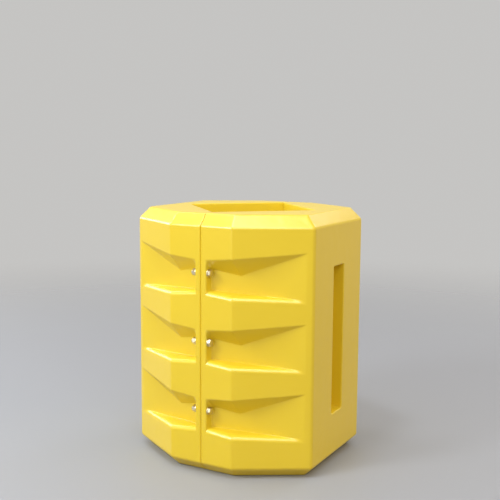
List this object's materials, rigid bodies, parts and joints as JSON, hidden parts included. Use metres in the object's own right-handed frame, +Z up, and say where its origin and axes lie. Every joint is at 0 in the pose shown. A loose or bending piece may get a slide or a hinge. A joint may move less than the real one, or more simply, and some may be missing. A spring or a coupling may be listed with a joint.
{
  "type": "rack column guard",
  "caption": "Split moulded guard that stands on the floor round a square column, bolted together through recessed seam flanges, to take knocks from trucks and pallets.",
  "frame": {"origin": "on the floor, at the centre of the column opening", "axes": "+Z up along the column, X across the two halves with the bolt heads at +X, -Y towards the front seam"},
  "size_m": [0.4838, 0.4678, 0.61],
  "materials": {
    "shell": "moulded, fine satin grain",
    "fastener": "bright zinc plate"
  },
  "bodies": {
    "root": {"half_shell_right": "shell", "half_shell_left": "shell", "front_bolts": "fastener", "front_head_washers": "fastener", "front_nut_washers": "fastener", "front_nuts": "fastener", "rear_bolts": "fastener", "rear_head_washers": "fastener", "rear_nut_washers": "fastener", "rear_nuts": "fastener"}
  },
  "joints": []
}
